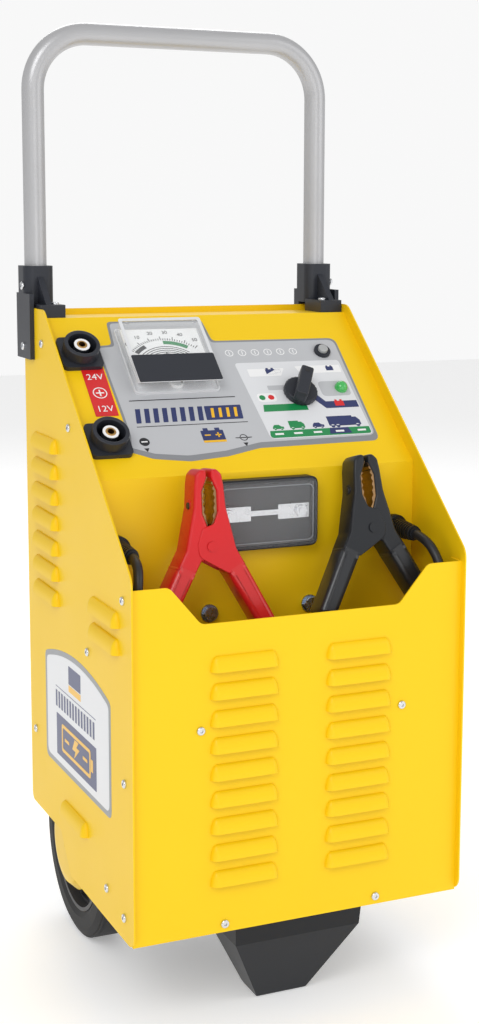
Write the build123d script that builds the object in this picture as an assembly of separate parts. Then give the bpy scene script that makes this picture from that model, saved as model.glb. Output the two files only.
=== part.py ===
"""Wheeled car battery charger and starter: sheet-metal body, sloping control panel,
lead pocket, two clamps on free leads, rear wheels, front foot and a tubular handle.

Frame: millimetres, +Z up, the front faces -Y, the origin lies on the floor under the
middle of the body. STEP files go to parts/, one per named piece.
"""
from build123d import *
import math
import os

os.makedirs("parts", exist_ok=True)

# ---- driving dimensions -------------------------------------------------------------
BODY_WIDTH = 330.0
SHEET = 1.5                 # body sheet thickness
FRONT_Y = -177.5            # front edges of the side panels
REAR_Y = 140.5              # outer face of the rear panel
BELLY_Z = 92.5              # bottom edge of the side panels
PANEL_TOP_Z = 642.5         # top edge of the side panels
NOSE_TOP_Z = 426.0          # top of the vertical front edge of the side panels
CREST_Y = 73.5              # where the slanted edge meets the top edge
PANEL_RECESS = 6.6          # front panel behind the side panels' edges
WALL_Y = -74.3              # front face of the pocket's back wall
FOLD_Z = 496.5              # fold between the back wall and the sloping face
LEDGE_Y = 81.3              # fold between the sloping face and the rear ledge
LEDGE_Z = 634.0
FRONT_TOP_Z = 415.5         # top of the front panel at its sides
CUTOUT_Z = 380.0            # bottom of the cut-out in the front panel
POCKET_Z = 294.5            # top of the pocket floor
WHEEL_R = 97.0
AXLE_Y = 80.5
AXLE_R = 7.5
TYRE_WIDTH = 40.0
TYRE_OUTER_X = 140.0
TUBE_R = 11.0               # handle tube
HANDLE_X = 154.0
HANDLE_Y = 135.5
HANDLE_TOP_Z = 911.5        # centre line of the hand bar
LOUVRE_DEPTH = 6.5
LOUVRE_HEIGHT = 14.0
LOUVRE_PITCH = 24.8
CABLE_D = 9.0
SCREW_HEAD_R = 4.0
RUNNING = 0.05              # radial clearance of a turning or sliding fit

HALF = BODY_WIDTH / 2
INNER = HALF - SHEET        # inner faces of the side panels
FRONT_PANEL_Y = FRONT_Y + PANEL_RECESS
FLOOR_Z = BELLY_Z + 16.0    # underside of the base plate
WELL_TOP_Z = 198.0
WELL_X = 92.0
WELL_FRONT_Y = -22.0

slope_dy = LEDGE_Y - WALL_Y
slope_dz = LEDGE_Z - FOLD_Z
SLOPE_LENGTH = math.hypot(slope_dy, slope_dz)
FASCIA = Plane(
    origin=(0, WALL_Y, FOLD_Z),
    x_dir=(1, 0, 0),
    z_dir=(0, -slope_dz / SLOPE_LENGTH, slope_dy / SLOPE_LENGTH),
)

# places on the sloping face: x, distance up the slope from its lower fold
SOCKETS = {"24v": (-139.0, 156.5), "12v": (-139.0, 45.0)}
METER_AT = (-53.0, 145.0)
METER_SIZE = (88.0, 86.0)
KNOB_AT = (73.5, 95.0)
BREAKER_AT = (118.0, 151.0)
LAMP_AT = (121.0, 100.0)
NEEDLE_AT = (-53.0, 113.0)

# places on the pocket's back wall
GLAND_X = 143.0
GLAND_Z = 433.5
GLAND_TIP_Y = -119.5
BOLTS = [(x, z) for x in (-52.0, 52.0) for z in (364.5, 236.5)]
FUSE_BOX = (-52.0, 55.0, 423.5, 490.5)      # x low, x high, z low, z high
FUSE_STUDS = [(-35.5, 457.5), (38.5, 457.5)]

SIDE_SCREWS = [
    (78.5, 609.5), (-6.2, 536.9), (-156.6, 404.3), (-55.8, 334.1),
    (120.0, 210.0), (-157.5, 240.2), (-105.8, 124.0), (-154.2, 114.8),
]
FRONT_SCREWS = [(-99.0, 283.9), (102.0, 283.9), (-76.0, 100.5), (77.0, 100.5)]
REAR_SCREWS = [(x, z) for x in (-125.0, 0.0, 125.0) for z in (218.0, 622.0)]


# ---- helpers ------------------------------------------------------------------------
def block(x0, x1, y0, y1, z0, z1):
    return Pos((x0 + x1) / 2, (y0 + y1) / 2, (z0 + z1) / 2) * Box(x1 - x0, y1 - y0, z1 - z0)


def rod(start, direction, radius, length):
    return Solid.make_cylinder(radius, length, Plane(origin=start, z_dir=direction))


def face_of(points, plane):
    return plane * make_face(Polyline(*points, close=True))


def plate_yz(points, x0, x1):
    """A flat plate from a side outline of (y, z) points, standing from x0 to x1."""
    return extrude(face_of(points, Plane.YZ.offset(x0)), x1 - x0)


def bent_strip(points, thickness, x0, x1):
    """Sheet bent along (y, z) points, its thickness lying to the right of the travel."""
    normals = []
    for (ya, za), (yb, zb) in zip(points, points[1:]):
        run = math.hypot(yb - ya, zb - za)
        normals.append(((zb - za) / run, -(yb - ya) / run))
    normals = [normals[0]] + normals + [normals[-1]]
    inner = []
    for (y, z), (na, nb) in zip(points, zip(normals, normals[1:])):
        miter = thickness / (1 + na[0] * nb[0] + na[1] * nb[1])
        inner.append((y + (na[0] + nb[0]) * miter, z + (na[1] + nb[1]) * miter))
    return plate_yz(points + inner[::-1], x0, x1)


def on_fascia(x, s, h, shape):
    return FASCIA.location * Pos(x, s, h) * shape


def tube_up(radius, h0, h1):
    """A cylinder standing on the sloping face from height h0 to h1."""
    return Pos(0, 0, (h0 + h1) / 2) * Cylinder(radius, h1 - h0)


def hexagon(across_flats, thickness):
    return extrude(RegularPolygon(across_flats / math.sqrt(3), 6), thickness)


def mirrored(shape):
    return mirror(shape, Plane.YZ)


def save(name, *shapes):
    solids = [s for shape in shapes for s in shape.solids()]
    export_step(solids[0] if len(solids) == 1 else Compound(solids), f"parts/{name}.step")


def louvre_dome(length, depth, height):
    """A pressed louvre's outer form: a quarter ellipse with quarter-round ends, open below."""
    mid = length / 2 - depth
    section = Plane.YZ * (
        Ellipse(depth, height) & Pos(-depth / 2, height / 2) * Rectangle(depth, height)
    )
    turned = revolve(section, Axis.Z, 360)
    left = turned & block(-depth, 0, -depth, 0, 0, height)
    right = turned & block(0, depth, -depth, 0, 0, height)
    return extrude(section, mid, both=True) + Pos(-mid, 0, 0) * left + Pos(mid, 0, 0) * right


def add_louvres(panel, length, places):
    """Presses louvres into a panel; each place carries a louvre from the XZ plane's origin."""
    outer = louvre_dome(length, LOUVRE_DEPTH, LOUVRE_HEIGHT)
    inner = louvre_dome(length - 2.4, LOUVRE_DEPTH - 1.2, LOUVRE_HEIGHT - 1.2)
    slot = block(4 - length / 2, length / 2 - 4, 0, SHEET, 0, LOUVRE_HEIGHT - 3)
    hollow = inner + slot
    return panel.fuse(*[at * outer for at in places]).cut(*[at * hollow for at in places])


def drill(shape, holes):
    return shape.cut(*holes)


# ---- casing ---------------------------------------------------------------------------
def side_panel():
    """Left side panel; the right one is its mirror image."""
    outline = [
        (FRONT_Y, BELLY_Z), (8.5, BELLY_Z), (39.5, BELLY_Z + 36), (REAR_Y, BELLY_Z + 36),
        (REAR_Y, PANEL_TOP_Z), (CREST_Y, PANEL_TOP_Z), (FRONT_Y, NOSE_TOP_Z),
    ]
    panel = plate_yz(outline, -HALF, -INNER)
    corner_radii = [(FRONT_Y, BELLY_Z, 14), (REAR_Y, PANEL_TOP_Z, 8), (CREST_Y, PANEL_TOP_Z, 16),
                    (FRONT_Y, NOSE_TOP_Z, 16), (REAR_Y, BELLY_Z + 36, 8)]
    for y, z, radius in corner_radii:
        edges = [e for e in panel.edges().filter_by(Axis.X)
                 if abs(e.center().Y - y) < 0.1 and abs(e.center().Z - z) < 0.1]
        panel = fillet(edges, radius)
    turn = Rot(0, 0, -90)
    rows = [(72.5, BELLY_Z + 414.0 - 24.9 * i) for i in range(7)]
    rows += [(-106.5, BELLY_Z + 284.5 - 24.4 * i) for i in range(2)]
    rows += [(-10.5, BELLY_Z + 59.0)]
    places = [Pos(-HALF, y, z) * turn for y, z in rows]
    panel = add_louvres(panel, 78.0, places)
    holes = [rod((-HALF - 1, y, z), (1, 0, 0), 2.2, SHEET + 2) for y, z in SIDE_SCREWS]
    holes += [rod((-HALF - 1, 128, z), (1, 0, 0), 2.2, SHEET + 2) for z in (604.0,)]
    return drill(panel, holes)


def front_panel():
    low, slant = 98.0, 128.0
    outline = [
        (-INNER, BELLY_Z), (INNER, BELLY_Z), (INNER, FRONT_TOP_Z), (slant, FRONT_TOP_Z),
        (low, CUTOUT_Z), (-low, CUTOUT_Z), (-slant, FRONT_TOP_Z), (-INNER, FRONT_TOP_Z),
    ]
    panel = extrude(face_of(outline, Plane.XZ.offset(-FRONT_PANEL_Y)), -SHEET)
    soft = [e for e in panel.edges().filter_by(Axis.Y)
            if abs(abs(e.center().X) - low) < 0.1 or abs(abs(e.center().X) - slant) < 0.1]
    panel = fillet(soft, 9)
    places = [Pos(x, FRONT_PANEL_Y, BELLY_Z + 45.5 + LOUVRE_PITCH * i)
              for x in (-57.0, 57.0) for i in range(9)]
    panel = add_louvres(panel, 66.0, places)
    holes = [rod((x, FRONT_PANEL_Y - 1, z), (0, 1, 0), 2.2, SHEET + 2) for x, z in FRONT_SCREWS]
    hem = block(-INNER, INNER, FRONT_PANEL_Y + SHEET, FRONT_PANEL_Y + 14, BELLY_Z, BELLY_Z + SHEET)
    y0, y1 = FRONT_PANEL_Y + SHEET, FRONT_PANEL_Y + 18
    sides = [block(x, x + SHEET, y0, y1, FLOOR_Z + SHEET + 0.5, FRONT_TOP_Z)
             for x in (-INNER, INNER - SHEET)]
    flange_holes = [rod((-INNER - 1, y, z), (1, 0, 0), 2.2, 2 * INNER + 2)
                    for y, z in SIDE_SCREWS if y < -150]
    return drill(panel + hem + sides[0] + sides[1], holes + flange_holes)


def fascia_panel():
    line = [(WALL_Y, FLOOR_Z + SHEET), (WALL_Y, FOLD_Z), (LEDGE_Y, LEDGE_Z), (REAR_Y - SHEET, LEDGE_Z)]
    sheet = bent_strip(line, SHEET, -INNER, INNER)
    flange = bent_strip(line, 16.0, -INNER, -INNER + SHEET)
    panel = sheet + flange + mirrored(flange)
    holes = [on_fascia(*at, 0, Cylinder(15.1, 8)) for at in SOCKETS.values()]
    holes += [on_fascia(*METER_AT, 0, Cylinder(33.0, 8))]
    holes += [on_fascia(*KNOB_AT, 0, Cylinder(6.2, 8))]
    holes += [on_fascia(*BREAKER_AT, 0, Cylinder(6.6, 8))]
    holes += [on_fascia(*LAMP_AT, 0, Cylinder(5.1, 8))]
    holes += [rod((x, WALL_Y - 1, GLAND_Z), (0, 1, 0), 7.1, SHEET + 2) for x in (-GLAND_X, GLAND_X)]
    holes += [rod((x, WALL_Y - 1, z), (0, 1, 0), 4.1, SHEET + 2) for x, z in BOLTS]
    holes += [rod((-INNER - 1, y, z), (1, 0, 0), 2.2, 2 * INNER + 2)
              for y, z in SIDE_SCREWS if y > -70 and z > 300]
    return drill(panel, holes)


def rear_panel():
    outline = [
        (-WELL_X, FLOOR_Z + SHEET), (WELL_X, FLOOR_Z + SHEET), (WELL_X, WELL_TOP_Z + SHEET),
        (INNER, WELL_TOP_Z + SHEET), (INNER, LEDGE_Z + 6), (-INNER, LEDGE_Z + 6),
        (-INNER, WELL_TOP_Z + SHEET), (-WELL_X, WELL_TOP_Z + SHEET),
    ]
    panel = extrude(face_of(outline, Plane.XZ.offset(-(REAR_Y - SHEET))), -SHEET)
    half_turn = Rot(0, 0, 180)
    places = [Pos(x, REAR_Y, 430 + LOUVRE_PITCH * i) * half_turn
              for x in (-57.0, 57.0) for i in range(6)]
    panel = add_louvres(panel, 66.0, places)
    flange = block(-INNER, -INNER + SHEET, REAR_Y - 34, REAR_Y - SHEET, WELL_TOP_Z + SHEET, 596)
    holes = [rod((x, REAR_Y - 8, z), (0, 1, 0), 2.2, 10) for x, z in REAR_SCREWS]
    holes += [rod((-INNER - 1, 120.0, 210.0), (1, 0, 0), 2.2, 2 * INNER + 2)]
    holes += [rod((0, REAR_Y - 4, 160.0), (0, 1, 0), 7.1, 6)]
    return drill(panel + flange + mirrored(flange), holes)


def base_plate():
    """Floor of the body with two wheel wells and the hangers that hold the axle."""
    rear = REAR_Y - SHEET
    front = FRONT_PANEL_Y + SHEET + 0.5
    plate = block(-INNER, INNER, front, WELL_FRONT_Y, FLOOR_Z, FLOOR_Z + SHEET)
    plate += block(-WELL_X, WELL_X, WELL_FRONT_Y, rear, FLOOR_Z, FLOOR_Z + SHEET)
    for x0, x1 in ((-INNER, -WELL_X + SHEET), (WELL_X - SHEET, INNER)):
        plate += block(x0, x1, WELL_FRONT_Y - SHEET, WELL_FRONT_Y, FLOOR_Z, WELL_TOP_Z)
        plate += block(x0, x1, WELL_FRONT_Y - SHEET, rear, WELL_TOP_Z, WELL_TOP_Z + SHEET)
    for x in (-WELL_X, WELL_X - SHEET):
        plate += block(x, x + SHEET, WELL_FRONT_Y, rear, FLOOR_Z, WELL_TOP_Z + SHEET)
    for x in (-82.0, 79.0):
        hanger = plate_yz(
            [(AXLE_Y - 22, FLOOR_Z), (AXLE_Y - 12, WHEEL_R - 12), (AXLE_Y + 12, WHEEL_R - 12),
             (AXLE_Y + 22, FLOOR_Z)], x, x + 3)
        plate += hanger
    plate += block(-60, 60, front, front + 12, BELLY_Z + 4, FLOOR_Z)
    holes = [rod((-HALF, AXLE_Y, WHEEL_R), (1, 0, 0), AXLE_R + RUNNING, BODY_WIDTH)]
    holes += [rod((-HALF, -105.8, 124.0), (1, 0, 0), 2.2, BODY_WIDTH)]
    ears = [block(x, x + SHEET, -118, -94, FLOOR_Z + SHEET, 134) for x in (-INNER, INNER - SHEET)]
    return drill(plate + ears[0] + ears[1], holes)


def pocket_floor():
    front = FRONT_PANEL_Y + SHEET + 0.3
    floor = block(-INNER + 2, INNER - 2, front, WALL_Y - 0.3, POCKET_Z - SHEET, POCKET_Z)
    floor += block(-INNER + 20, INNER - 20, front, front + SHEET, POCKET_Z - 22, POCKET_Z)
    floor += block(-INNER + 20, INNER - 20, WALL_Y - 0.3 - SHEET, WALL_Y - 0.3, POCKET_Z - 22, POCKET_Z)
    holes = [rod((x, front - 1, z), (0, 1, 0), 2.2, 5) for x, z in FRONT_SCREWS if z > 200]
    return drill(floor, holes)


def screw(length=9.0):
    """Pan-head screw along +Z: the head stands above the origin, the shank below."""
    head = Cylinder(SCREW_HEAD_R, 2.4, align=(Align.CENTER, Align.CENTER, Align.MIN))
    head = fillet(head.edges().group_by(Axis.Z)[-1], 1.4)
    recess = Pos(0, 0, 1.3) * extrude(RegularPolygon(1.7, 6), 2)
    shank = Cylinder(2.0, length, align=(Align.CENTER, Align.CENTER, Align.MAX))
    return (head - recess) + shank


def panel_screws():
    out = []
    for y, z in SIDE_SCREWS:
        out += [Pos(-HALF, y, z) * Rot(0, -90, 0) * screw(), Pos(HALF, y, z) * Rot(0, 90, 0) * screw()]
    out += [Pos(x, FRONT_PANEL_Y, z) * Rot(90, 0, 0) * screw() for x, z in FRONT_SCREWS]
    out += [Pos(x, REAR_Y, z) * Rot(-90, 0, 0) * screw(7.0) for x, z in REAR_SCREWS]
    return out


# ---- foot, handle and wheels ----------------------------------------------------------------
def front_foot():
    """Hollow moulded foot, wide under the body and narrow on the floor."""
    def section(half_x, y0, y1, z, inset=0.0):
        x = half_x - inset
        return Plane.XY.offset(z) * make_face(Polyline(
            (-x, y0 + inset), (x, y0 + inset), (x, y1 - inset), (-x, y1 - inset), close=True))

    top_z = BELLY_Z
    levels = [(64, -168.0, -92.0, top_z), (63, -166.0, -92.0, 74.0), (25, -128.0, -92.0, 0.0)]
    shell = loft([section(*levels[1]), section(*levels[0])], ruled=True)
    shell += loft([section(*levels[2]), section(*levels[1])], ruled=True)
    shell = fillet(shell.edges().filter_by(Axis.X).group_by(Axis.Z)[0], 4)
    inner = loft([section(63, -166.0, -92.0, 74.0, 4), section(64, -168.0, -92.0, top_z, 4)], ruled=True)
    inner += loft([section(27, -130.0, -92.0, 8.0, 4), section(63, -166.0, -92.0, 74.0, 4)], ruled=True)
    return shell - inner


def handle_tube():
    low = LEDGE_Z + 10
    line = FilletPolyline(
        (-HANDLE_X, HANDLE_Y, low), (-HANDLE_X, HANDLE_Y, HANDLE_TOP_Z),
        (HANDLE_X, HANDLE_Y, HANDLE_TOP_Z), (HANDLE_X, HANDLE_Y, low), radius=56)
    ring = Circle(TUBE_R) - Circle(TUBE_R - 2)
    return sweep(Plane(origin=line @ 0, z_dir=line % 0) * ring, path=line)


def handle_bracket():
    """Left moulded corner bracket; the right one is its mirror image."""
    x0, x1 = -HALF - 4.5, -139.0
    back0, back1 = REAR_Y, 152.0
    top = PANEL_TOP_Z + 41
    low = 592.0
    body = block(x0, x1, 119, back1, PANEL_TOP_Z + 0.5, top)
    body = fillet(body.edges().filter_by(Axis.Z), 9)
    body += block(x0, -HALF, 105, back1, low, PANEL_TOP_Z + 14)
    body += block(x0, x1, back0, back1, low, PANEL_TOP_Z + 14)
    body += block(-HALF + 2, x1, 85, 124, LEDGE_Z, PANEL_TOP_Z + 4)
    body += plate_yz([(90, PANEL_TOP_Z + 4), (124, PANEL_TOP_Z + 4), (124, top - 6)], -157, -151)
    body -= rod((-HANDLE_X, HANDLE_Y, LEDGE_Z + 10), (0, 0, 1), TUBE_R, 60)
    body -= rod((-HALF - 10, 128, 604), (1, 0, 0), 2.2, 20)
    body -= rod((-HALF - 10, 128, 664), (1, 0, 0), 2.2, 7.5)
    body -= rod((-146, 97, LEDGE_Z - 1), (0, 0, 1), 2.2, 20)
    return body


def bracket_screws():
    left = [
        Pos(-HALF - 4.5, 128, 604) * Rot(0, -90, 0) * screw(12.0),
        Pos(-HALF - 4.5, 128, 664) * Rot(0, -90, 0) * screw(1.8),
        Pos(-146, 97, PANEL_TOP_Z + 4) * screw(12.0),
    ]
    return left + [mirrored(s) for s in left]


def lathe_x(profile):
    """Turns (x, radius) points round the axle line."""
    flat = Plane.XZ * make_face(Polyline(*profile, close=True))
    return Pos(0, AXLE_Y, WHEEL_R) * revolve(flat, Axis.X, 360)


def right_tyre():
    x0, x1 = TYRE_OUTER_X - TYRE_WIDTH, TYRE_OUTER_X
    tread = WHEEL_R
    return lathe_x([
        (x0 + 3, 70), (x1 - 3, 70), (x1, 76), (x1, tread - 9), (x1 - 3, tread - 3),
        (x1 - 9, tread), (x0 + 9, tread), (x0 + 3, tread - 3), (x0, tread - 9), (x0, 76)])


def right_rim():
    x0, x1 = TYRE_OUTER_X - TYRE_WIDTH, TYRE_OUTER_X
    barrel = lathe_x([(x0 + 2, 70), (x0 + 2, 66), (x1 - 2, 66), (x1 - 2, 70)])
    web = lathe_x([(x1 - 22, 18), (x1 - 22, 67), (x1 - 12, 67), (x1 - 12, 18)])
    hub = lathe_x([(x0, 8), (x0, 19), (x1 - 4, 19), (x1 - 4, 8)])
    rim = barrel + web + hub
    window = Pos(x1 - 17, 0, 50) * Box(14, 25, 26)
    windows = [Pos(0, AXLE_Y, WHEEL_R) * Rot(60 * i, 0, 0) * window for i in range(6)]
    bore = rod((x0 - 5, AXLE_Y, WHEEL_R), (1, 0, 0), AXLE_R + RUNNING, TYRE_WIDTH + 10)
    return drill(rim, windows + [bore])


def right_hub_cap():
    x = TYRE_OUTER_X
    cap = lathe_x([(x - 3.5, 48), (x - 3.5, 45), (x + 6, 39), (x + 8, 30), (x + 8, 0), (x + 10, 0),
                   (x + 9.6, 32), (x + 8, 40), (x - 0.5, 48)])
    legs = lathe_x([(x - 12, 19), (x - 12, 22.5), (x + 8.5, 22.5), (x + 8.5, 19)])
    return cap + legs


def rear_axle():
    return rod((-TYRE_OUTER_X - 3, AXLE_Y, WHEEL_R), (1, 0, 0), AXLE_R, 2 * TYRE_OUTER_X + 6)


def axle_clips():
    """Push-on retaining clips outside each hub and collars inside it."""
    clip = rod((TYRE_OUTER_X - 3.5, AXLE_Y, WHEEL_R), (1, 0, 0), 13, 2)
    collar = rod((TYRE_OUTER_X - TYRE_WIDTH - 4.5, AXLE_Y, WHEEL_R), (1, 0, 0), 12, 4)
    bore = rod((60, AXLE_Y, WHEEL_R), (1, 0, 0), AXLE_R, 120)
    right = [clip - bore, collar - bore]
    return right + [mirrored(s) for s in right]


# ---- controls -----------------------------------------------------------------------------
def meter_case():
    width, height = METER_SIZE
    frame = Pos(0, 0, 1.5) * Box(width, height, 3.0)
    frame = fillet(frame.edges().filter_by(Axis.Z), 4)
    cup = tube_up(32.5, -42, 3.0) - tube_up(30.5, -40, 2.9) - Pos(0, 0, 2.9) * Box(50, 50, 0.4)
    studs = [Pos(x, 0, -47) * Cylinder(3, 10) for x in (-14, 14)]
    return on_fascia(*METER_AT, 0, frame - tube_up(30.5, -1, 4) + cup + studs[0] + studs[1])


def meter_cover():
    width, height = METER_SIZE[0] - 2, METER_SIZE[1] - 2
    box = Pos(0, 0, 10) * Box(width, height, 14)
    box = fillet(box.edges().filter_by(Axis.Z), 4)
    box = fillet(box.faces().sort_by(Axis.Z)[-1].edges(), 2)
    hollow = Pos(0, 0, 9) * Box(width - 4, height - 4, 12)
    return on_fascia(*METER_AT, 0, box - hollow)


def meter_movement():
    """Dial plate on its bracket, with the coil drum that carries the needle's pivot."""
    dial = Pos(0, 2, 7) * Box(80, 70, 1.0)
    drop = NEEDLE_AT[1] - METER_AT[1]
    drum = Pos(0, drop, 0) * tube_up(7.5, 3.2, 7.5)
    yoke = Pos(0, 0, -24) * Box(40, 44, 32)
    bore = Pos(0, drop, 0) * tube_up(1.5 + RUNNING, 3, 9)
    legs = [Pos(x, 0, -3) * Box(4, 10, 20) for x in (-16, 16)]
    return on_fascia(*METER_AT, 0, dial + drum + yoke + legs[0] + legs[1] - bore)


def meter_needle():
    """Needle at its zero stop, pointing up and to the left."""
    pointer = Pos(24, 0, 9.4) * Box(44, 1.2, 0.6)
    tail = Pos(-3.7, 0, 9.4) * Box(5.4, 3, 0.6)
    hub = tube_up(3.0, 8.4, 10.4) + tube_up(1.5, 4.0, 8.4)
    return on_fascia(*NEEDLE_AT, 0, Rot(0, 0, 137) * (pointer + tail + hub))


def selector_knob():
    """Pointer knob: round skirt, raised grip bar with a tapered nose, shaft behind."""
    skirt = tube_up(17.0, 0.6, 7.5)
    skirt = fillet(skirt.faces().sort_by(Axis.Z)[-1].edges(), 1.5)
    bar = extrude(make_face(Polyline(
        (-19, -5), (10, -5), (21, -1.6), (21, 1.6), (10, 5), (-19, 5), close=True)), 14)
    bar = Pos(0, 0, 7) * bar
    bar = fillet(bar.faces().sort_by(Axis.Z)[-1].edges(), 1.4)
    shaft = tube_up(3.0, -16, 1)
    return on_fascia(*KNOB_AT, 0, Rot(0, 0, 62) * (skirt + bar + shaft))


def selector_switch():
    body = Pos(0, 0, -27) * Box(50, 50, 48) + tube_up(6.0, -4, 0.2)
    wafer = [Pos(x, 0, -54) * Box(3, 8, 8) for x in (-18, -6, 6, 18)]
    body -= tube_up(3.0 + RUNNING, -18, 1)
    return on_fascia(*KNOB_AT, 0, body + wafer[0] + wafer[1] + wafer[2] + wafer[3])


def circuit_breaker():
    body = Pos(0, 0, -20) * Box(26, 34, 34) + tube_up(6.5, -4, 3.0)
    ring = tube_up(8.6, 0.0, 3.0)
    tabs = [Pos(0, y, -42) * Box(6, 0.8, 12) for y in (-9, 9)]
    return on_fascia(*BREAKER_AT, 0, body + ring + tabs[0] + tabs[1] - tube_up(5.0 + RUNNING, -15, 4))


def reset_button():
    button = tube_up(5.0, -10.5, 6.5)
    return on_fascia(*BREAKER_AT, 0, fillet(button.faces().sort_by(Axis.Z)[-1].edges(), 1.2))


def power_lamp():
    dome = Sphere(6.6) & Pos(0, 0, 10) * Box(20, 20, 20)
    lens = Pos(0, 0, 1.5) * dome + tube_up(6.6, 0, 1.5) + tube_up(5.0, -22, 0)
    leads = [Pos(x, 0, -26) * Box(2.8, 0.8, 10) for x in (-2.5, 2.5)]
    return on_fascia(*LAMP_AT, 0, lens + leads[0] + leads[1])


def socket_body():
    plate = Pos(0, 0, 2.5) * Box(40, 40, 5)
    plate = fillet(plate.edges().filter_by(Axis.Z), 5)
    ring = tube_up(17.5, 5, 17) - tube_up(13.5, 4.9, 18)
    ring = fillet(ring.faces().sort_by(Axis.Z)[-1].edges(), 1)
    post = tube_up(7.6, -2, 14.5)
    barrel = tube_up(15.0, -30, 0.1)
    recess = tube_up(13.5, -18, 6) - tube_up(7.6, -19, 7)
    return plate + barrel + ring + post - recess - tube_up(5.0, -31, 16)


def socket_contact():
    tube = tube_up(5.0, -44, 15.5)
    tube = fillet(tube.faces().sort_by(Axis.Z)[-1].edges(), 0.6)
    return tube - tube_up(3.25, -14.5, 16)


# ---- power parts ----------------------------------------------------------------------------
def fuse_base():
    x0, x1, z0, z1 = FUSE_BOX
    outer = block(x0, x1, WALL_Y - 10, WALL_Y, z0, z1)
    outer = fillet(outer.edges().filter_by(Axis.Y), 8)
    outer -= block(x0 + 4, x1 - 4, WALL_Y - 11, WALL_Y - 3, z0 + 4, z1 - 4)
    pads = [block(x - 9, x + 9, WALL_Y - 6, WALL_Y - 2, z - 8, z + 8) for x, z in FUSE_STUDS]
    return outer + pads[0] + pads[1]


def fuse_link():
    """Strip fuse with two slotted lugs, its studs and their nuts."""
    (xa, z), (xb, _) = FUSE_STUDS
    face = WALL_Y - 6
    strip = block(xa - 9, xb + 9, face - 1.2, face, z - 7, z + 7)
    middle = (xa + xb) / 2
    strip -= block(middle - 14, middle + 14, face - 3, face + 1, z + 2.5, z + 8)
    strip -= block(middle - 14, middle + 14, face - 3, face + 1, z - 8, z - 2.5)
    out = [strip - rod((xa, face + 1, z), (0, -1, 0), 3.1, 4) - rod((xb, face + 1, z), (0, -1, 0), 3.1, 4)]
    for x, z in FUSE_STUDS:
        stud = rod((x, face, z), (0, -1, 0), 3.0, 6.2)
        nut = Pos(x, face - 1.2, z) * Rot(90, 0, 0) * (hexagon(10, 3.6) - Cylinder(3.0, 20))
        out += [stud, nut]
    return out


def fuse_cover():
    x0, x1, z0, z1 = FUSE_BOX
    cover = block(x0 + 1.5, x1 - 1.5, WALL_Y - 14.5, WALL_Y - 10, z0 + 1.5, z1 - 1.5)
    cover = fillet(cover.edges().filter_by(Axis.Y), 7)
    cover = fillet(cover.faces().sort_by(Axis.Y)[0].edges(), 1.5)
    return cover - block(x0 + 5, x1 - 5, WALL_Y - 13, WALL_Y - 9, z0 + 5, z1 - 5)


def ribbed_gland(x):
    """Lead gland: hexagon, threaded neck through the wall and a tapered ribbed sleeve."""
    length = WALL_Y - GLAND_TIP_Y
    profile = [(0, 0), (12, 0), (12, 6), (9.6, 7)]
    ribs = 9
    start, pitch = 8.0, (length - 10.0) / 9
    for i in range(ribs):
        r = 9.6 - 2.6 * i / ribs
        h = start + pitch * i
        profile += [(r, h), (r, h + pitch * 0.55), (r - 1.4, h + pitch * 0.6), (r - 1.4, h + pitch * 0.95)]
    profile += [(6.2, length), (0, length)]
    flat = Plane.XZ * make_face(Polyline(*profile, close=True))
    sleeve = revolve(flat, Axis.Z, 360)
    neck = Cylinder(7.0, 14, align=(Align.CENTER, Align.CENTER, Align.MAX))
    nut = Pos(0, 0, -SHEET - 5) * (hexagon(20, 5) - Cylinder(7.0, 20))
    return Pos(x, WALL_Y, GLAND_Z) * Rot(90, 0, 0) * (sleeve + neck + nut)


def mains_gland():
    """Plain cable gland low on the rear panel, ready for the mains lead."""
    body = hexagon(22, 6) + Pos(0, 0, 6) * Cone(9.5, 7.5, 12, align=(Align.CENTER, Align.CENTER, Align.MIN))
    neck = Cylinder(7.0, 12, align=(Align.CENTER, Align.CENTER, Align.MAX))
    gland = body + neck - Cylinder(5.0, 80)
    return Pos(0, REAR_Y, 160.0) * Rot(-90, 0, 0) * gland


CORE_Y0, CORE_Y1 = -48.0, 27.0


def transformer_core():
    z0, z1 = 222.5, 378.5
    core = block(-66, 66, CORE_Y0, CORE_Y1, z0, z1)
    for x0, x1 in ((-44, -20), (20, 44)):
        core -= block(x0, x1, CORE_Y0 - 1, CORE_Y1 + 1, z0 + 26, z1 - 26)
    holes = [rod((x, CORE_Y0 - 1, z), (0, 1, 0), 4.1, CORE_Y1 - CORE_Y0 + 2) for x, z in BOLTS]
    return drill(core, holes)


def transformer_coils():
    """Primary and secondary windings, one above the other on the middle limb."""
    out = []
    for z0, z1 in ((249.5, 299.0), (301.0, 351.5)):
        coil = block(-43.5, 43.5, CORE_Y0 - 22, CORE_Y1 + 22, z0, z1)
        coil = fillet(coil.edges().filter_by(Axis.Z), 16)
        out.append(coil - block(-20.2, 20.2, CORE_Y0 - 0.2, CORE_Y1 + 0.2, z0 - 1, z1 + 1))
    return out


def core_bolts():
    """Flanged bolts through wall and core, each with a spacer and a nut behind."""
    out = []
    for x, z in BOLTS:
        turn = Rot(90, 0, 0)
        head = hexagon(13, 6.5) & Sphere(9.2)
        flange = Cylinder(8.5, 2, align=(Align.CENTER, Align.CENTER, Align.MIN))
        shank = Cylinder(4.0, 118, align=(Align.CENTER, Align.CENTER, Align.MAX))
        out.append(Pos(x, WALL_Y, z) * turn * (head + flange + shank))
        out.append(rod((x, WALL_Y + SHEET, z), (0, 1, 0), 8, CORE_Y0 - WALL_Y - SHEET)
                   - rod((x, WALL_Y, z), (0, 1, 0), 4.0, 60))
        nut = hexagon(13, 6) - Cylinder(4.0, 20)
        out.append(Pos(x, CORE_Y1 + 6, z) * turn * nut)
    return out


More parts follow.
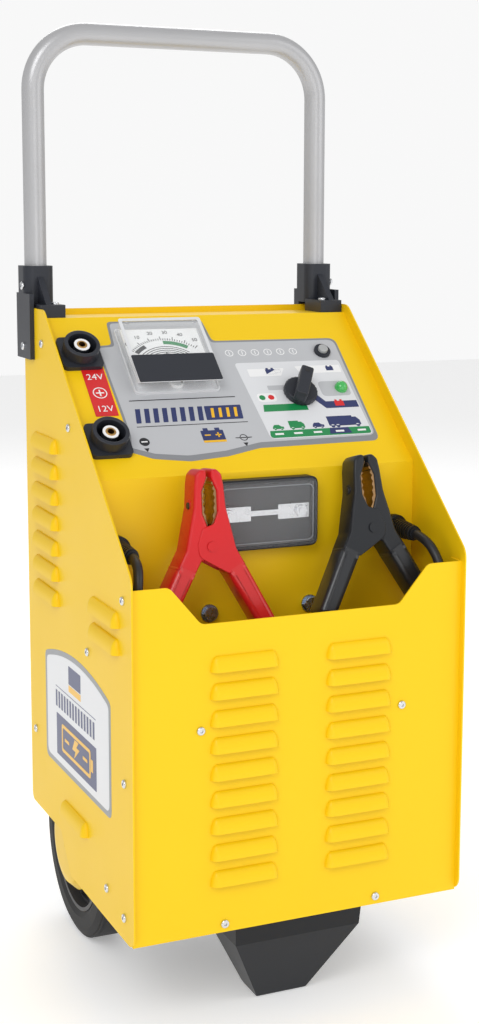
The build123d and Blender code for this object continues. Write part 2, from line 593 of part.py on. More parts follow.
def rectifier_heatsink():
    base = block(-90, 90, 92, 97, 400, 540)
    fins = [block(x, x + 2, 97, 128, 400, 540) for x in range(-90, 89, 11)]
    feet = [block(x, x + 10, 128, REAR_Y - SHEET, 400, 540) for x in (-90, 80)]
    sink = base.fuse(*fins, *feet)
    return drill(sink, [rod((x, 85, z), (0, 1, 0), 6.4, 8) for x in (-50, 50) for z in (440, 500)])


def rectifier_diodes():
    out = []
    for x in (-50, 50):
        for z in (440, 500):
            out.append(rod((x, 92.8, z), (0, -1, 0), 6.4, 9) + rod((x, 84, z), (0, -1, 0), 1.2, 14))
    return out


# ---- leads ----------------------------------------------------------------------------------
COIL_X = 92.5               # centre of each wound coil
COIL_Y = -122.5
COIL_LONG = 134.0
COIL_WIDE = 86.0
COIL_TALL = 41.4

NEGATIVE_FROM_GLAND = [
    (-143, -119.5, 433.5), (-144, -135, 431), (-147, -146, 420), (-149.5, -149, 404),
    (-149, -144, 387), (-145.5, -136, 370), (-141.5, -130.5, 355), (-140, -128, 338), (-140.5, -129, 323),
]
POSITIVE_FROM_GLAND = [
    (143, -119.5, 433.5), (144, -138.5, 431), (146.5, -152, 420), (149, -159.5, 404.5),
    (149.5, -162, 387.5), (148.5, -162, 371), (144, -161.8, 355), (134, -161.4, 341.5),
    (119.5, -161, 333.5),
]
NEGATIVE_TO_CLAMP = [
    (-58, -161, 331.2), (-40, -160, 331.8), (-21, -155, 334), (-2, -148.5, 337.6), (12.7, -140.6, 342.4),
    (24.6, -135.3, 347.6), (31.5, -132.2, 352.5), (36, -130.2, 357.5), (39.3, -128.7, 363.5),
]
POSITIVE_TO_CLAMP = [
    (66, -161, 299.2), (50, -160.4, 299.5), (34.5, -157, 301.5), (23, -150, 307), (13.5, -141, 316),
    (5.5, -132.5, 327), (-2, -125.5, 337.5), (-8.6, -121.4, 348), (-14.3, -120.3, 358.5),
]


def corner_radii(points):
    """The largest arc at each corner: 0.45 of the shorter run over the half turn's tangent."""
    radii = []
    for a, b, c in zip(points, points[1:], points[2:]):
        into, out = Vector(*b) - Vector(*a), Vector(*c) - Vector(*b)
        half = math.radians(into.get_angle(out)) / 2
        radii.append(0.45 * min(into.length, out.length) / math.tan(half))
    return radii


def lead_tube(points, name):
    radii = corner_radii(points)
    line = FilletPolyline(*points, radius=radii)
    tube = sweep(Plane(origin=line @ 0, z_dir=line % 0) * Circle(CABLE_D / 2), path=line)
    ideal = math.pi * (CABLE_D / 2) ** 2 * line.length
    print(f"{name}: length {line.length:.0f}, volume ratio {tube.volume / ideal:.3f}, "
          f"radii {[round(r) for r in radii]}")
    return tube


def lead_coil(x):
    slot = SlotOverall(COIL_LONG, COIL_WIDE)
    return Pos(x, COIL_Y, POCKET_Z) * extrude(slot, COIL_TALL)


# ---- clamps ---------------------------------------------------------------------------------
CLAMP_THICK = 29.0
CLAMP_ANGLE = 28.5          # each handle off the clamp's middle line
HUB_R = 16.0
SPRING_HALF = 8.0
LUG_HALF = 11.0
CLAMPS = {
    # name: pivot, lean back in degrees, +1 where the fixed arm lies on the right
    "positive": ((-70.0, -112.0, 437.5), 6.0, 1),
    "negative": ((95.0, -109.5, 440.5), 14.0, -1),
}
JAW_LINE = [(1.8, 17), (7, 30), (7, 50), (1.8, 62), (1.8, 70)]


def arm_outline():
    """Outline of the arm on the +u side; the jaw's seat is JAW_LINE, the handle runs down."""
    s, c = math.sin(math.radians(CLAMP_ANGLE)), math.cos(math.radians(CLAMP_ANGLE))
    hip = (24.5, -3.0)
    end_out = (hip[0] + 82 * s, hip[1] - 82 * c)
    end_in = (end_out[0] - 18 * c, end_out[1] - 18 * s)
    rise = -14 - end_in[1]
    crotch = (end_in[0] - rise * s / c, -14.0)
    return JAW_LINE + [(8, 70), (12.5, 66), (14, 55), (15.5, 35), (20.5, 14), hip,
                       end_out, end_in, crotch, (0.3, -14), (0.3, 14)]


def slab(points, half):
    return Pos(0, 0, -half) * extrude(make_face(Polyline(*points, close=True)), 2 * half)


def washer_pair(radius, near, far):
    """Two discs on the pivot line, from height near to far on either side of the middle."""
    disc = Cylinder(radius, far - near)
    middle = (near + far) / 2
    return [Pos(0, 0, middle) * disc, Pos(0, 0, -middle) * disc]


def fixed_arm():
    arm = slab(arm_outline(), CLAMP_THICK / 2) - Cylinder(HUB_R + 0.5, 2 * (LUG_HALF + 0.3))
    for disc in washer_pair(HUB_R, LUG_HALF + 0.3, CLAMP_THICK / 2):
        arm += disc
    return arm - Cylinder(2.5, CLAMP_THICK + 2)


def moving_arm():
    """The other arm, drawn on the same side as the fixed one and mirrored when placed."""
    arm = slab(arm_outline(), CLAMP_THICK / 2)
    for disc in washer_pair(HUB_R + 0.5, LUG_HALF, CLAMP_THICK / 2 + 1):
        arm -= disc
    for disc in washer_pair(HUB_R, SPRING_HALF, LUG_HALF):
        arm += disc
    arm -= Cylinder(12.5, 2 * SPRING_HALF)
    return arm - Cylinder(2.5 + RUNNING, CLAMP_THICK + 2)


def jaw():
    shifted = [(u - 1.5, w) for u, w in JAW_LINE]
    return slab(JAW_LINE + shifted[::-1], 12.0)


def pivot_pin():
    pin = Cylinder(2.5, CLAMP_THICK)
    for head in washer_pair(4.5, CLAMP_THICK / 2, CLAMP_THICK / 2 + 1.2):
        pin += head
    return pin


def spring():
    return Cylinder(8.0, 2 * SPRING_HALF - 1) - Cylinder(5.0, 2 * SPRING_HALF)


def save_clamp(name, pivot, lean, side):
    tilt = math.radians(lean)
    plane = Plane(origin=pivot, x_dir=(1, 0, 0), z_dir=(0, -math.cos(tilt), math.sin(tilt)))
    at = plane.location

    def placed(shape, sign):
        return at * (shape if sign > 0 else mirror(shape, Plane.YZ))

    save(f"{name}_fixed_arm", placed(fixed_arm(), side))
    save(f"{name}_moving_arm", placed(moving_arm(), -side))
    save(f"{name}_fixed_jaw", placed(jaw(), side))
    save(f"{name}_moving_jaw", placed(jaw(), -side))
    save(f"{name}_pivot_pin", at * pivot_pin())
    save(f"{name}_spring", at * spring())


# ---- writing the pieces ----------------------------------------------------------------------
left_side = side_panel()
save("left_side_panel", left_side)
save("right_side_panel", mirrored(left_side))
save("front_panel", front_panel())
save("fascia_panel", fascia_panel())
save("rear_panel", rear_panel())
save("base_plate", base_plate())
save("pocket_floor", pocket_floor())
save("panel_screws", *panel_screws())
save("front_foot", front_foot())
save("handle_tube", handle_tube())
left_bracket = handle_bracket()
save("left_handle_bracket", left_bracket)
save("right_handle_bracket", mirrored(left_bracket))
save("bracket_screws", *bracket_screws())
save("rear_axle", rear_axle())
save("axle_clips", *axle_clips())
for piece, make in (("tyre", right_tyre), ("rim", right_rim), ("hub_cap", right_hub_cap)):
    right_piece = make()
    save(f"right_{piece}", right_piece)
    save(f"left_{piece}", mirrored(right_piece))
save("meter_case", meter_case())
save("meter_cover", meter_cover())
save("meter_movement", meter_movement())
save("meter_needle", meter_needle())
save("selector_knob", selector_knob())
save("selector_switch", selector_switch())
save("circuit_breaker", circuit_breaker())
save("reset_button", reset_button())
save("power_lamp", power_lamp())
for volts, place in SOCKETS.items():
    save(f"socket_{volts}", on_fascia(*place, 0, socket_body()))
save("socket_contacts", *[on_fascia(*place, 0, socket_contact()) for place in SOCKETS.values()])
save("fuse_base", fuse_base())
save("fuse_link", *fuse_link())
save("fuse_cover", fuse_cover())
save("negative_gland", ribbed_gland(-GLAND_X))
save("positive_gland", ribbed_gland(GLAND_X))
save("mains_gland", mains_gland())
save("transformer_core", transformer_core())
save("transformer_coils", *transformer_coils())
save("core_bolts", *core_bolts())
save("rectifier_heatsink", rectifier_heatsink())
save("rectifier_diodes", *rectifier_diodes())
save("negative_lead", lead_tube(NEGATIVE_FROM_GLAND, "negative, from gland"),
     lead_tube(NEGATIVE_TO_CLAMP, "negative, to clamp"))
save("positive_lead", lead_tube(POSITIVE_FROM_GLAND, "positive, from gland"),
     lead_tube(POSITIVE_TO_CLAMP, "positive, to clamp"))
save("negative_coil", lead_coil(-COIL_X))
save("positive_coil", lead_coil(COIL_X))
for name, (pivot, lean, side) in CLAMPS.items():
    save_clamp(name, pivot, lean, side)
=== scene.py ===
import bpy
import math
from mathutils import Matrix, Vector


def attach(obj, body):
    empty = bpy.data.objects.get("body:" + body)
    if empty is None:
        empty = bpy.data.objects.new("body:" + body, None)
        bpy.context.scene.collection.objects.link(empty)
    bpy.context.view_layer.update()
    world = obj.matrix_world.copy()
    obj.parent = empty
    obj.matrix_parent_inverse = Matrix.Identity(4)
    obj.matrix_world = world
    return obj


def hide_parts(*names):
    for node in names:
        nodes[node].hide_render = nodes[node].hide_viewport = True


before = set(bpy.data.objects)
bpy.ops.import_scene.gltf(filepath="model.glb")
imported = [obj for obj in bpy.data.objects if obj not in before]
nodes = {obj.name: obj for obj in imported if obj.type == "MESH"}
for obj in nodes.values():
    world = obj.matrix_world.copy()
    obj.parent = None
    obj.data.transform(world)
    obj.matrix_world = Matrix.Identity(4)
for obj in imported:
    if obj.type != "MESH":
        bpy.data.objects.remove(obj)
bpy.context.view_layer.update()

MM = 0.001

# ---- camera ------------------------------------------------------------------------------
IMAGE_W, IMAGE_H = 479, 1024
SENSOR = 24.0                       # mm, along the image's height
FOCAL = 1638.7                      # in units of the image, which is 1024 of them high
CENTRE_X, CENTRE_Y = 277.4, 465.5   # where the lens axis meets the image
CAMERA_AT = (-0.6138, -1.4684, 0.7312)
turn, tip, roll = math.radians(-24.37), math.radians(8.57), math.radians(0.297)
back = Vector((math.sin(turn) * math.cos(tip), -math.cos(turn) * math.cos(tip), math.sin(tip)))
right = Vector((0, 0, 1)).cross(back).normalized()
up = back.cross(right)
right, up = (math.cos(roll) * right + math.sin(roll) * up, math.cos(roll) * up - math.sin(roll) * right)
camera_data = bpy.data.cameras.new("camera")
camera = bpy.data.objects.new("camera", camera_data)
bpy.context.scene.collection.objects.link(camera)
camera.matrix_world = Matrix((
    (right.x, up.x, back.x, CAMERA_AT[0]), (right.y, up.y, back.y, CAMERA_AT[1]),
    (right.z, up.z, back.z, CAMERA_AT[2]), (0, 0, 0, 1)))
camera_data.sensor_fit = "VERTICAL"
camera_data.sensor_height = SENSOR
camera_data.lens = FOCAL * SENSOR / IMAGE_H
camera_data.shift_x = (IMAGE_W / 2 - CENTRE_X) / IMAGE_H
camera_data.shift_y = (CENTRE_Y - IMAGE_H / 2) / IMAGE_H
bpy.context.scene.camera = camera


# ---- finishes ----------------------------------------------------------------------------
def grain_group():
    """Colour drift, roughness drift and a fine surface grain, shared by every finish."""
    g = bpy.data.node_groups.new("surface_grain", "ShaderNodeTree")
    made = [("Color", "NodeSocketColor"), ("Drift Color", "NodeSocketColor"),
            ("Drift Scale", "NodeSocketFloat"), ("Roughness", "NodeSocketFloat"),
            ("Spread", "NodeSocketFloat"), ("Grain Scale", "NodeSocketFloat"),
            ("Grain Depth", "NodeSocketFloat")]
    for name, kind in made:
        g.interface.new_socket(name=name, in_out="INPUT", socket_type=kind)
    for name, kind in (("Color", "NodeSocketColor"), ("Roughness", "NodeSocketFloat"),
                       ("Normal", "NodeSocketVector")):
        g.interface.new_socket(name=name, in_out="OUTPUT", socket_type=kind)
    n, link = g.nodes, g.links.new
    given, out = n.new("NodeGroupInput"), n.new("NodeGroupOutput")
    place = n.new("ShaderNodeTexCoord")
    drift, grain = n.new("ShaderNodeTexNoise"), n.new("ShaderNodeTexNoise")
    drift.inputs["Detail"].default_value = 4
    grain.inputs["Detail"].default_value = 2
    for tex, scale in ((drift, "Drift Scale"), (grain, "Grain Scale")):
        link(place.outputs["Object"], tex.inputs["Vector"])
        link(given.outputs[scale], tex.inputs["Scale"])
    mix = n.new("ShaderNodeMix")
    mix.data_type = "RGBA"
    link(drift.outputs["Fac"], mix.inputs[0])
    link(given.outputs["Color"], mix.inputs[6])
    link(given.outputs["Drift Color"], mix.inputs[7])
    link(mix.outputs[2], out.inputs["Color"])
    centred, spread = n.new("ShaderNodeMath"), n.new("ShaderNodeMath")
    centred.operation, spread.operation = "SUBTRACT", "MULTIPLY_ADD"
    centred.inputs[1].default_value = 0.5
    link(drift.outputs["Fac"], centred.inputs[0])
    link(centred.outputs[0], spread.inputs[0])
    link(given.outputs["Spread"], spread.inputs[1])
    link(given.outputs["Roughness"], spread.inputs[2])
    link(spread.outputs[0], out.inputs["Roughness"])
    bump = n.new("ShaderNodeBump")
    bump.inputs["Strength"].default_value = 1.0
    link(grain.outputs["Fac"], bump.inputs["Height"])
    link(given.outputs["Grain Depth"], bump.inputs["Distance"])
    link(bump.outputs["Normal"], out.inputs["Normal"])
    return g


GRAIN = grain_group()


def finish(name, color, rough, metal=0.0, drift=0.88, spread=0.1, drift_scale=14.0,
           grain=900.0, depth=0.00004, coat=0.0, alpha=1.0, glow=0.0, shine=0.5):
    """A finish from its colour (0-1 linear) and surface.

    drift scales the colour in soft patches, spread varies the roughness with them, and grain
    and depth are the scale and height (m) of the fine bumps. shine is the specular level.
    """
    mat = bpy.data.materials.new(name)
    mat.use_nodes = True
    n, link = mat.node_tree.nodes, mat.node_tree.links.new
    shader = n["Principled BSDF"]
    group = n.new("ShaderNodeGroup")
    group.node_tree = GRAIN
    values = {"Color": (*color, 1), "Drift Color": (*[c * drift for c in color], 1),
              "Drift Scale": drift_scale, "Roughness": rough, "Spread": spread,
              "Grain Scale": grain, "Grain Depth": depth}
    for key, value in values.items():
        group.inputs[key].default_value = value
    link(group.outputs["Color"], shader.inputs["Base Color"])
    link(group.outputs["Roughness"], shader.inputs["Roughness"])
    link(group.outputs["Normal"], shader.inputs["Normal"])
    shader.inputs["Metallic"].default_value = metal
    shader.inputs["Coat Weight"].default_value = coat
    shader.inputs["Coat Roughness"].default_value = 0.12
    shader.inputs["Alpha"].default_value = alpha
    shader.inputs["Specular IOR Level"].default_value = shine
    if glow:
        link(group.outputs["Color"], shader.inputs["Emission Color"])
        shader.inputs["Emission Strength"].default_value = glow
    return mat


YELLOW = (0.9, 0.585, 0.005)
yellow = finish("yellow powder coat", YELLOW, 0.4, drift=0.97, grain=1100, depth=0.00003,
                coat=0.03, shine=0.25)
grey_coat = finish("grey tube coat", (0.47, 0.47, 0.48), 0.34, metal=0.35, grain=700, depth=0.00006, coat=0.2)
black_coat = finish("black sheet coat", (0.02, 0.02, 0.022), 0.42)
zinc = finish("bright zinc", (0.72, 0.73, 0.75), 0.25, metal=1.0, spread=0.2, drift_scale=160)
blue_zinc = finish("blue passivated zinc", (0.42, 0.5, 0.62), 0.28, metal=1.0, spread=0.25, drift_scale=200)
steel = finish("drawn steel", (0.5, 0.51, 0.53), 0.35, metal=1.0, spread=0.2, drift_scale=90)
black = finish("moulded black", (0.009, 0.01, 0.013), 0.4, grain=1600, depth=0.00005, shine=0.3)
charcoal = finish("moulded charcoal", (0.024, 0.027, 0.036), 0.38, grain=1500, depth=0.00004, shine=0.35)
satin_black = finish("clamp black", (0.011, 0.013, 0.017), 0.36, drift=0.8, grain=900, depth=0.00006, shine=0.4)
red = finish("clamp red", (0.66, 0.008, 0.012), 0.34, drift=0.85, grain=900, depth=0.00006, shine=0.45)
red_sleeve = finish("sleeve red", (0.66, 0.014, 0.016), 0.3, drift=0.85, grain=500, depth=0.0001, coat=0.25)
black_sleeve = finish("sleeve black", (0.016, 0.018, 0.022), 0.3, drift=0.8, grain=500, depth=0.0001, coat=0.2)
cable = finish("cable sheath", (0.014, 0.014, 0.016), 0.42, grain=800, depth=0.00005)
tyre = finish("tyre rubber", (0.016, 0.016, 0.017), 0.7, drift=1.3, drift_scale=40, grain=600, depth=0.0001)
grey_rim = finish("rim grey", (0.05, 0.05, 0.055), 0.48)
yellow_cap = finish("cap yellow", YELLOW, 0.35, shine=0.3)
copper = finish("copper jaw", (0.45, 0.27, 0.13), 0.38, metal=1.0, drift=0.55, spread=0.25,
                drift_scale=120, grain=500, depth=0.0001)
brass = finish("brass tube", (0.72, 0.42, 0.14), 0.3, metal=1.0, drift=0.6, drift_scale=200)
winding = finish("varnished winding", (0.42, 0.16, 0.05), 0.35, metal=0.6, grain=300, depth=0.0003)
iron = finish("laminated iron", (0.08, 0.08, 0.085), 0.55, metal=0.7, grain=500, depth=0.0002)
alloy = finish("bare alloy", (0.6, 0.61, 0.63), 0.4, metal=1.0)
clear = finish("clear cover", (0.9, 0.92, 0.94), 0.06, drift=1.0, spread=0.02, depth=0.000003, alpha=0.07)
paper = finish("dial white", (0.9, 0.91, 0.91), 0.5, drift=0.99)
label_edge = finish("label grey edge", (0.24, 0.25, 0.265), 0.35, drift=0.95, coat=0.2)
label_grey = finish("label silver", (0.5, 0.51, 0.53), 0.32, drift=0.95, coat=0.3)
label_pale = finish("label pale", (0.72, 0.73, 0.75), 0.32, drift=0.97, coat=0.3)
ink_blue = finish("ink blue", (0.018, 0.03, 0.13), 0.35, coat=0.2)
ink_green = finish("ink green", (0.008, 0.25, 0.07), 0.35, coat=0.2)
ink_red = finish("ink red", (0.7, 0.012, 0.014), 0.35, coat=0.2)
ink_white = finish("ink white", (0.86, 0.86, 0.86), 0.35, drift=0.98, coat=0.2)
ink_black = finish("ink black", (0.015, 0.015, 0.018), 0.4)
ink_yellow = finish("ink yellow", (0.9, 0.5, 0.01), 0.35, coat=0.2)
lamp_green = finish("lamp green", (0.05, 0.42, 0.09), 0.12, spread=0.02, coat=0.5, glow=0.15)
button_grey = finish("button grey", (0.42, 0.43, 0.43), 0.35)
floor_white = finish("studio floor", (0.94, 0.94, 0.94), 0.7, drift=1.0, shine=0.2, glow=0.3)

WEARS = {
    "left_side_panel": yellow, "right_side_panel": yellow, "front_panel": yellow, "fascia_panel": yellow,
    "rear_panel": yellow, "pocket_floor": yellow, "base_plate": black_coat, "panel_screws": zinc,
    "bracket_screws": zinc, "front_foot": black, "handle_tube": grey_coat, "left_handle_bracket": charcoal,
    "right_handle_bracket": charcoal, "rear_axle": steel, "axle_clips": steel, "left_tyre": tyre,
    "right_tyre": tyre, "left_rim": grey_rim, "right_rim": grey_rim, "left_hub_cap": yellow_cap,
    "right_hub_cap": yellow_cap, "meter_case": label_pale, "meter_cover": clear, "meter_movement": paper,
    "meter_needle": ink_black, "selector_knob": charcoal, "selector_switch": black,
    "circuit_breaker": charcoal, "reset_button": button_grey, "power_lamp": lamp_green,
    "socket_24v": charcoal, "socket_12v": charcoal, "socket_contacts": brass, "fuse_base": black,
    "fuse_link": zinc, "fuse_cover": clear, "negative_gland": black, "positive_gland": black,
    "mains_gland": black, "transformer_core": iron, "transformer_coils": winding,
    "core_bolts": blue_zinc, "rectifier_heatsink": alloy, "rectifier_diodes": zinc,
}
for side in ("positive", "negative"):
    shell = red if side == "positive" else satin_black
    WEARS.update({f"{side}_fixed_arm": shell, f"{side}_moving_arm": shell,
                  f"{side}_fixed_jaw": copper, f"{side}_moving_jaw": copper,
                  f"{side}_pivot_pin": shell, f"{side}_spring": steel})
for name, mat in WEARS.items():
    piece = nodes[name]
    if not piece.material_slots:
        piece.data.materials.append(mat)
    for held in piece.material_slots:
        held.material = mat


# ---- tools for making pieces ---------------------------------------------------------------
def place(origin, x_axis, y_axis, z_axis):
    """A matrix from a piece's own millimetres to the row frame's metres."""
    m = Matrix.Identity(4)
    for i in range(3):
        m[i][0], m[i][1], m[i][2] = x_axis[i] * MM, y_axis[i] * MM, z_axis[i] * MM
        m[i][3] = origin[i] * MM
    return m


SLOPE = math.hypot(155.6, 137.5)
UY, UZ = 155.6 / SLOPE, 137.5 / SLOPE
FASCIA = place((0, -74.3, 496.5), (1, 0, 0), (0, UY, UZ), (0, -UZ, UY))
LEFT = place((-165, -17.5, 0), (0, -1, 0), (0, 0, 1), (-1, 0, 0))
RIGHT = place((165, -17.5, 0), (0, 1, 0), (0, 0, 1), (1, 0, 0))


def rounded(corners):
    """Outline points from corners of (x, y, radius)."""
    out = []
    count = len(corners)
    for i, (x, y, r) in enumerate(corners):
        here = Vector((x, y))
        to_last = Vector(corners[i - 1][:2]) - here
        to_next = Vector(corners[(i + 1) % count][:2]) - here
        angle = to_last.angle(to_next, math.pi)
        if r <= 0 or angle > math.radians(176):
            out.append((x, y))
            continue
        reach = min(r / math.tan(angle / 2), 0.48 * to_last.length, 0.48 * to_next.length)
        start, end = here + to_last.normalized() * reach, here + to_next.normalized() * reach
        for k in range(6):
            t = k / 5
            p = (1 - t) ** 2 * start + 2 * t * (1 - t) * here + t ** 2 * end
            out.append((p.x, p.y))
    return out


def box_outline(x0, x1, y0, y1, r=0.0):
    return rounded([(x0, y0, r), (x1, y0, r), (x1, y1, r), (x0, y1, r)])


def disc(x, y, r, count=28):
    return [(x + r * math.cos(2 * math.pi * k / count), y + r * math.sin(2 * math.pi * k / count))
            for k in range(count)]


def band(x, y, r0, r1, a0, a1, count=24):
    """A piece of ring from angle a0 to a1, in degrees."""
    angles = [math.radians(a0 + (a1 - a0) * k / count) for k in range(count + 1)]
    outer = [(x + r1 * math.cos(a), y + r1 * math.sin(a)) for a in angles]
    return outer + [(x + r0 * math.cos(a), y + r0 * math.sin(a)) for a in reversed(angles)]


def as_mesh(obj, matrix, mat, body):
    bpy.ops.object.select_all(action="DESELECT")
    obj.select_set(True)
    bpy.context.view_layer.objects.active = obj
    bpy.ops.object.convert(target="MESH")
    obj = bpy.context.view_layer.objects.active
    obj.data.transform(matrix)
    obj.data.materials.clear()
    obj.data.materials.append(mat)
    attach(obj, body)
    return obj


def slab(name, outlines, height, half, edge, matrix, mat, body="root"):
    """Flat shapes with rounded edges: outlines in the XY plane, middle height and half thickness."""
    curve = bpy.data.curves.new(name, "CURVE")
    curve.dimensions = "2D"
    curve.fill_mode = "BOTH"
    curve.extrude = max(half - edge, 0.0)
    curve.bevel_depth = edge
    curve.bevel_resolution = 3 if edge > 0.5 else 1
    curve.offset = -edge
    for outline in outlines:
        spline = curve.splines.new("POLY")
        spline.points.add(len(outline) - 1)
        for point, (x, y) in zip(spline.points, outline):
            point.co = (x, y, 0, 1)
        spline.use_cyclic_u = True
    obj = bpy.data.objects.new(name, curve)
    bpy.context.scene.collection.objects.link(obj)
    return as_mesh(obj, matrix @ Matrix.Translation((0, 0, height)), mat, body)


def film(name, outlines, layer, mat, matrix=FASCIA, body="root", base=0.0):
    """A printed layer 0.12 mm thick; higher layers lie on lower ones."""
    return slab(name, outlines, base + 0.12 * layer + 0.06, 0.08, 0.0, matrix, mat, body)


def lettering(name, words, matrix, mat, layer, base=0.0):
    """Plain figures: each of (text, x, y, height)."""
    made = []
    for i, (text, x, y, size) in enumerate(words):
        bpy.ops.object.select_all(action="DESELECT")
        bpy.ops.object.text_add(location=(0, 0, 0))
        obj = bpy.context.object
        obj.name = f"{name}_{i}"
        obj.data.body = text
        obj.data.size = size
        obj.data.align_x = "CENTER"
        obj.data.align_y = "CENTER"
        obj.data.extrude = 0.05
        at = Matrix.Translation((x, y, base + 0.12 * layer + 0.06))
        made.append(as_mesh(obj, matrix @ at, mat, "root"))
    return made


# ---- control label --------------------------------------------------------------------------
label = [(-119, 168, 3), (-103, 169, 5), (-100.4, 200.8, 5), (0, 200.8, 5), (3.2, 170.8, 5),
         (139.2, 170.2, 9), (138.6, 29.4, 9), (9, 27.9, 30), (-26, 20, 20), (-64.7, 16.5, 30),
         (-100, 22, 20), (-124, 33.5, 3), (-117, 52, 6), (-117, 75, 3)]
inner = [(-116.5, 165.5, 3), (-100.5, 166.5, 5), (-98, 198.3, 5), (-2.4, 198.3, 5), (0.8, 168.3, 5),
         (136.7, 167.7, 8), (136.1, 36.4, 8), (11, 34.9, 30), (-26, 27, 20), (-64.7, 23.5, 30),
         (-97, 28, 20), (-117.5, 36.5, 3), (-114.5, 52, 6), (-114.5, 75, 3)]
film("control_label_edge", [rounded(label)], 0, label_edge)
film("control_label_field", [rounded(inner)], 1, label_grey)
film("control_white_field", [rounded([(17, 139, 4), (132, 139, 4), (134, 38, 4), (24, 38, 6)])], 2, label_pale)
film("voltage_label", [rounded([(-142, 77, 1), (-119.5, 77, 1), (-119.5, 148, 1), (-142, 148, 1)])], 2, ink_red)
lettering("voltage_figures", [("24V", -130.7, 127, 10.5), ("12V", -130.7, 86, 10.5)], FASCIA, ink_white, 3)
film("voltage_plus", [
    band(-130.7, 106.5, 6.0, 7.0, 0, 359.9, 40), box_outline(-134.7, -126.7, 105.8, 107.2),
    box_outline(-131.4, -130.0, 102.5, 105.8), box_outline(-131.4, -130.0, 107.2, 110.5)], 3, ink_white)
film("title_bars", [[(x, 66), (x + 5, 66), (x + 8, 84), (x + 3, 84)] for x in range(-105, -36, 9)], 2, ink_blue)
film("title_block", [rounded([(-34, 66, 1), (4, 66, 1), (6, 84, 1), (-32, 84, 1)])], 2, ink_blue)
film("title_block_bars", [[(x, 69), (x + 3, 69), (x + 5, 81), (x + 2, 81)] for x in (-28, -20, -12, -4)],
     3, ink_yellow)
film("title_rule", [box_outline(-106, 7, 61.2, 62.0), box_outline(-105, 4, 94.2, 95.2)], 2, ink_black)
film("battery_badge", [rounded([(-45, 38, 1), (-22, 38, 1), (-22, 53, 1), (-45, 53, 1)]),
                       box_outline(-42, -37, 53, 56), box_outline(-30, -25, 53, 56)], 2, ink_blue)
film("battery_badge_signs", [box_outline(-42, -36, 46.4, 47.8), box_outline(-31, -25, 46.4, 47.8),
                             box_outline(-28.7, -27.3, 44.1, 50.1), box_outline(-45, -22, 38, 40.5)],
     3, ink_yellow)
film("minus_disc", [disc(-103.5, 43, 5), [(-106, 35), (-101, 35), (-103.5, 30.5)],
                    [(-6, 35.5), (-1, 35.5), (-3.5, 31)]], 2, ink_black)
film("minus_sign", [box_outline(-106.5, -100.5, 42.3, 43.7)], 3, ink_white)
film("fuse_icon", [band(-3.5, 42, 3.2, 4.0, 0, 359.9, 30), box_outline(-12, 5, 41.6, 42.4)], 2, ink_black)
film("notice_icons", [band(x, 153, 3.6, 4.4, 0, 359.9, 24) for x in range(16, 100, 14)]
     + [box_outline(x - 0.4, x + 0.4, 150.5, 155.5) for x in range(16, 100, 14)], 2, ink_white)
film("start_band", [[(28, 73), (76, 73), (76, 82), (30, 82)]], 3, ink_green)
film("boost_band", [[(84, 90), (96, 74), (132, 74), (132, 83), (98, 83), (92, 92)]], 3, ink_blue)
film("off_band", [box_outline(42, 62, 101, 107, 1)], 3, label_grey)
film("lamp_field", [rounded([(98, 90, 5), (130, 90, 5), (130, 110, 5), (98, 110, 5)])], 3, label_grey)
film("rate_fields", [rounded([(28, 120, 1), (62, 120, 1), (68, 130, 1), (28, 130, 1)]),
                     rounded([(84, 122, 1), (130, 122, 1), (130, 132, 1), (80, 132, 1)])], 3, ink_white)
film("start_field", [rounded([(27, 86, 4), (47, 86, 4), (47, 97, 4), (27, 97, 4)])], 3, ink_white)
film("start_dots", [disc(32, 91.5, 3.2)], 4, ink_green)
film("stop_dots", [disc(41.5, 91.5, 3.2)], 4, ink_red)


def battery_icon(x, y, s):
    return [box_outline(x - s, x + s, y - 0.7 * s, y + 0.6 * s),
            box_outline(x - 0.8 * s, x - 0.3 * s, y + 0.6 * s, y + 0.95 * s),
            box_outline(x + 0.3 * s, x + 0.8 * s, y + 0.6 * s, y + 0.95 * s)]


film("battery_icons", battery_icon(52, 126, 5) + battery_icon(60, 126, 3) + battery_icon(118, 127.5, 4),
     4, ink_blue)
film("boost_icon", battery_icon(112, 80, 5), 4, ink_red)


def car(x, y, s):
    body = [(-8, 0), (8, 0), (8, 3), (4.5, 3.8), (2, 6.6), (-4.5, 6.6), (-7, 3.6)]
    wheels = [disc(x - 4.6 * s, y, 1.6 * s, 14), disc(x + 4.6 * s, y, 1.6 * s, 14)]
    return [[(x + u * s, y + 0.6 * s + v * s) for u, v in body]] + wheels


def van(x, y, s, load):
    body = [(-load, 0), (8, 0), (8, 4.5), (5.5, 8), (2.2, 8), (2.2, 9.5), (-load, 9.5)]
    spots = [-load + 3, 5] + ([-load + 7.5] if load > 12 else [])
    wheels = [disc(x + u * s, y, 1.7 * s, 14) for u in spots]
    return [[(x + u * s, y + 0.6 * s + v * s) for u, v in body]] + wheels


film("vehicle_icons_green", car(36, 50, 0.75) + van(57, 50, 0.95, 9), 3, ink_green)
film("vehicle_icons_blue", car(79, 50, 0.8) + van(116, 50.5, 1.25, 20), 3, ink_blue)
film("rating_band", [rounded([(24, 39, 4), (133, 39, 3), (133, 48, 1), (26, 48, 1)])], 3, ink_green)
film("rating_band_middle", [[(88, 40.5), (112, 40.5), (110, 48), (90, 48)]], 4, ink_blue)
film("rating_marks", [box_outline(x, x + 9, 42.4, 44.6) for x in (30, 50, 71, 95, 119)], 5, ink_white)

